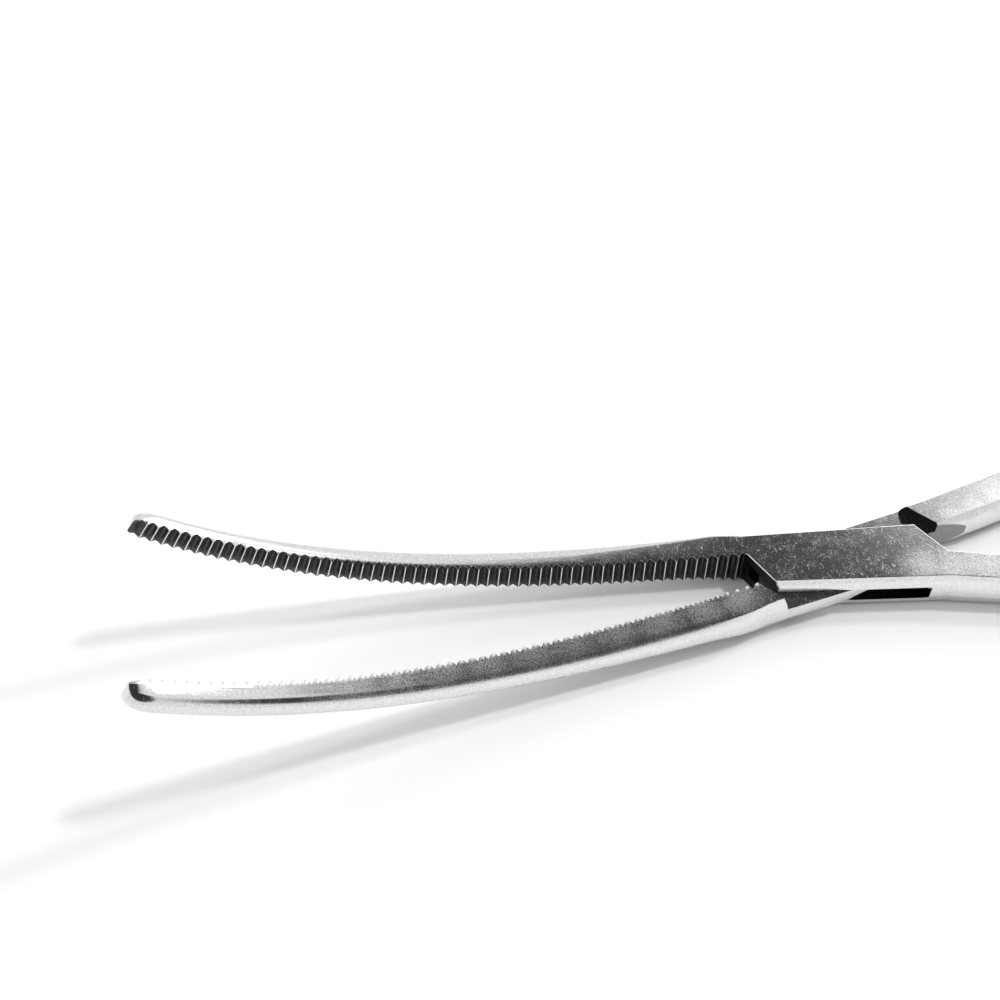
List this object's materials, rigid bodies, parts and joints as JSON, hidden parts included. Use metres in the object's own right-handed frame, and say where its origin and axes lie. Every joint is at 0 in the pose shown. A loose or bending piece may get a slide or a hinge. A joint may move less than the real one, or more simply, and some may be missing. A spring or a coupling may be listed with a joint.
{
  "type": "hemostatic forceps",
  "caption": "Curved box-lock hemostatic forceps with full-length cross-serrated jaws, ring handles and a ratchet, lying flat with its jaws open.",
  "frame": {"origin": "on the pivot axis, at the underside of the box lock, in the plane the forceps lies on", "axes": "+X from the pivot to the finger rings, the jaws at -X; +Z along the pivot axis, up from the rest plane, the way the jaw tips curl; +Y to the box half's jaw side"},
  "size_m": [0.1985, 0.0947, 0.017],
  "materials": {
    "instrument_steel": "polished stainless steel with fine scratches",
    "pin_steel": "polished stainless steel, ground flush"
  },
  "bodies": {
    "box_half": {"box_half": "instrument_steel", "pivot_pin": "pin_steel"},
    "tongue_half": {"tongue_half": "instrument_steel"}
  },
  "joints": [
    {"name": "box_lock_hinge", "type": "hinge", "parent": "box_half", "child": "tongue_half", "pos_m": [0, 0, 0], "axis": [0, 0, 1], "range_deg": [-14.6, 45]}
  ]
}
